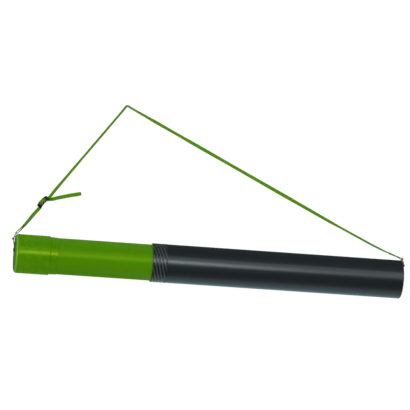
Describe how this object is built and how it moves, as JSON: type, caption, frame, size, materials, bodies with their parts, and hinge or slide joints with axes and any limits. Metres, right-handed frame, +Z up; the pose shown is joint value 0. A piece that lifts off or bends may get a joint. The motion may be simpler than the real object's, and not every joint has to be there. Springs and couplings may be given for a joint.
{
  "type": "telescopic drawing tube",
  "caption": "Telescopic tube for rolled drawings: a dark outer tube with a grooved mouth collar, a green inner tube with a push-on lid, and an adjustable webbing carrying strap.",
  "frame": {"origin": "on the floor that the tube lies on, under the middle of the tube", "axes": "+X along the tube from the lid to the base, +Y towards the strap's peak, +Z up"},
  "size_m": [0.823, 0.363, 0.0806],
  "materials": {
    "green_plastic": "satin",
    "dark_plastic": "satin",
    "black_tab": "matte",
    "black_rivet": "satin",
    "steel_wire": "satin",
    "steel_washer": "satin",
    "strap_webbing": "woven",
    "slider_plastic": "gloss"
  },
  "bodies": {
    "outer": {"outer_tube": "dark_plastic", "mouth_collar": "dark_plastic", "base_plug": "dark_plastic", "base_rivet": "black_rivet", "base_washer": "steel_washer", "strap_long_run": "strap_webbing"},
    "inner": {"inner_tube": "green_plastic", "guide_collar": "dark_plastic"},
    "lid": {"lid": "green_plastic", "lid_rivet": "black_rivet", "lid_washer": "steel_washer", "strap_short_run": "strap_webbing", "strap_double_run": "strap_webbing"},
    "lid_tab": {"lid_tab": "black_tab"},
    "lid_ring": {"lid_ring": "steel_wire", "strap_lid_loop": "strap_webbing"},
    "base_tab": {"base_tab": "black_tab"},
    "base_ring": {"base_ring": "steel_wire", "strap_base_loop": "strap_webbing"},
    "slider": {"strap_slider": "slider_plastic", "strap_tail": "strap_webbing"}
  },
  "joints": [
    {"name": "tube_slide", "type": "slide", "parent": "outer", "child": "inner", "axis": [-1, 0, 0], "range_m": [-0.1959, 0.2125], "deforming": ["strap_long_run"]},
    {"name": "lid_pull", "type": "slide", "parent": "inner", "child": "lid", "axis": [-1, 0, 0], "range_m": [0, 0.16], "deforming": ["strap_short_run"]},
    {"name": "lid_tab_turn", "type": "hinge", "parent": "lid", "child": "lid_tab", "pos_m": [-0.405, 0.0075, 0.0403], "axis": [-1, 0, 0], "range_deg": [-22, 22]},
    {"name": "lid_ring_swing", "type": "hinge", "parent": "lid_tab", "child": "lid_ring", "pos_m": [-0.4093, 0.0295, 0.0403], "axis": [0, 0, 1], "range_deg": [-2, 75], "deforming": ["strap_double_run"]},
    {"name": "base_tab_turn", "type": "hinge", "parent": "outer", "child": "base_tab", "pos_m": [0.405, 0.0075, 0.0403], "axis": [1, 0, 0], "range_deg": [-22, 22]},
    {"name": "base_ring_swing", "type": "hinge", "parent": "base_tab", "child": "base_ring", "pos_m": [0.4093, 0.0295, 0.0403], "axis": [0, 0, -1], "range_deg": [-2, 75]},
    {"name": "slider_adjust", "type": "slide", "parent": "lid", "child": "slider", "axis": [0.6309, 0.7759, 0], "range_m": [-0.012, 0.06]}
  ]
}
